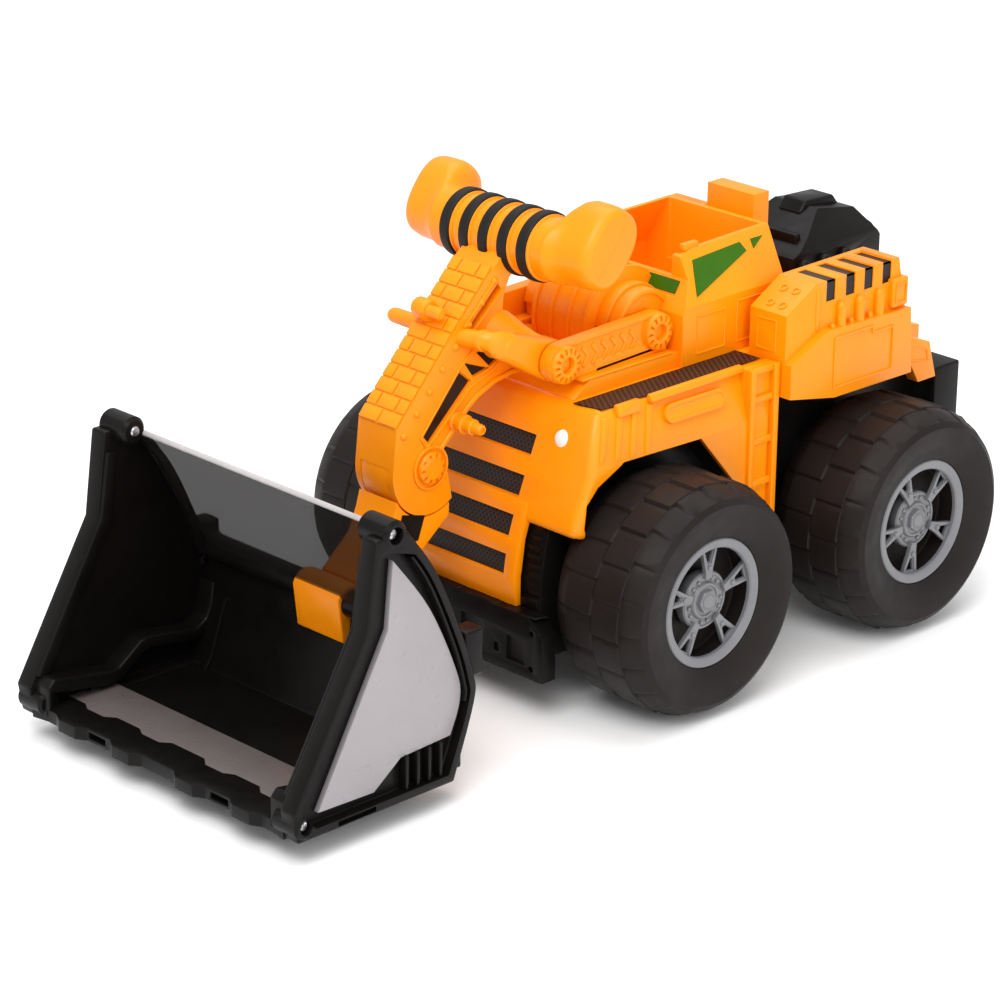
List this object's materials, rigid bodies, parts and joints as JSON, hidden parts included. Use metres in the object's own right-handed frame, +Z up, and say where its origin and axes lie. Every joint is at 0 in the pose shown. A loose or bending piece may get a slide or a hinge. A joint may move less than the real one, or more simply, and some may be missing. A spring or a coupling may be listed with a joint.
{
  "type": "toy front loader",
  "caption": "Push-along toy wheel loader with four hollow wheels, a pivoting two-handed lever arm and a wide tilting bucket with a smoke-grey back screen.",
  "frame": {"origin": "on the floor, under the middle of the overall length, on the centre plane", "axes": "+X forward towards the bucket, +Y to the loader's left, +Z up"},
  "size_m": [0.564, 0.2666, 0.2841],
  "materials": {
    "yellow_plastic": "semi-gloss moulded ABS, orange-yellow",
    "black_plastic": "satin black moulded plastic",
    "black_print": "black printed label film with a fine diagonal pattern",
    "black_mesh": "black printed diamond mesh",
    "white_print": "white printed lens",
    "green_print": "green printed window film",
    "tyre_plastic": "matte blow-moulded tyre",
    "silver_plastic": "silver-grey moulded trim",
    "silver_print": "flat silver printed label",
    "steel": "bright zinc-plated steel",
    "grip_rubber": "soft black grip rubber",
    "smoke_plastic": "clear smoke-grey sheet",
    "frosted_plastic": "frosted grey wear plate"
  },
  "bodies": {
    "chassis": {"chassis_core": "black_plastic", "front_bumper": "black_plastic", "rear_bumper": "black_plastic", "hood_shell": "yellow_plastic", "headlights": "white_print", "grille_mesh": "black_mesh", "deck_strips": "black_print", "left_fender": "yellow_plastic", "right_fender": "yellow_plastic", "left_pod": "yellow_plastic", "right_pod": "yellow_plastic", "pod_vents": "black_print", "pedestal": "yellow_plastic", "cab_tub": "yellow_plastic", "cab_windows": "green_print", "rear_body": "yellow_plastic", "engine_block": "black_plastic"},
    "front_wheels": {"front_axle": "steel", "front_left_tyre": "tyre_plastic", "front_right_tyre": "tyre_plastic", "front_left_rim": "silver_plastic", "front_right_rim": "silver_plastic", "front_tyre_backs": "tyre_plastic"},
    "rear_wheels": {"rear_axle": "steel", "rear_left_tyre": "tyre_plastic", "rear_right_tyre": "tyre_plastic", "rear_left_rim": "silver_plastic", "rear_right_rim": "silver_plastic", "rear_tyre_backs": "tyre_plastic"},
    "link": {"left_link": "yellow_plastic", "right_link": "yellow_plastic", "rear_pivot_rod": "yellow_plastic", "rear_pivot_caps": "yellow_plastic"},
    "arm": {"arm_left_half": "yellow_plastic", "arm_right_half": "yellow_plastic", "front_pivot_rod": "yellow_plastic", "front_pivot_caps": "yellow_plastic", "bucket_pivot_pin": "yellow_plastic", "bucket_pivot_caps": "yellow_plastic", "peg_rod": "yellow_plastic", "brick_cover": "yellow_plastic", "arm_decals": "black_print", "grip_core": "yellow_plastic", "grip_rings": "grip_rubber", "left_handle_end": "yellow_plastic", "right_handle_end": "yellow_plastic"},
    "bucket": {"bucket_carrier": "yellow_plastic", "bucket_clip": "yellow_plastic", "cross_tube": "black_plastic", "bucket_shell": "black_plastic", "bucket_left_plate": "black_plastic", "bucket_right_plate": "black_plastic", "bucket_left_panel": "silver_print", "bucket_right_panel": "silver_print", "smoke_screen": "smoke_plastic", "top_rod": "black_plastic", "lip_plate": "frosted_plastic", "cutting_edge": "black_plastic", "bucket_screws": "steel"}
  },
  "joints": [
    {"name": "front_axle_spin", "type": "hinge", "parent": "chassis", "child": "front_wheels", "pos_m": [-0.01, 0, 0.0675], "axis": [0, 1, 0], "continuous": true},
    {"name": "rear_axle_spin", "type": "hinge", "parent": "chassis", "child": "rear_wheels", "pos_m": [-0.188, 0, 0.0675], "axis": [0, 1, 0], "continuous": true},
    {"name": "link_swing", "type": "hinge", "parent": "chassis", "child": "link", "pos_m": [-0.0465, 0, 0.1954], "axis": [0, -1, 0], "range_deg": [0, 28]},
    {"name": "arm_swing", "type": "hinge", "parent": "link", "child": "arm", "pos_m": [0.0265, 0, 0.193], "axis": [0, -1, 0], "range_deg": [-3, 18]},
    {"name": "bucket_tilt", "type": "hinge", "parent": "arm", "child": "bucket", "pos_m": [0.0965, 0, 0.1428], "axis": [0, 1, 0], "range_deg": [-30, 30]}
  ]
}
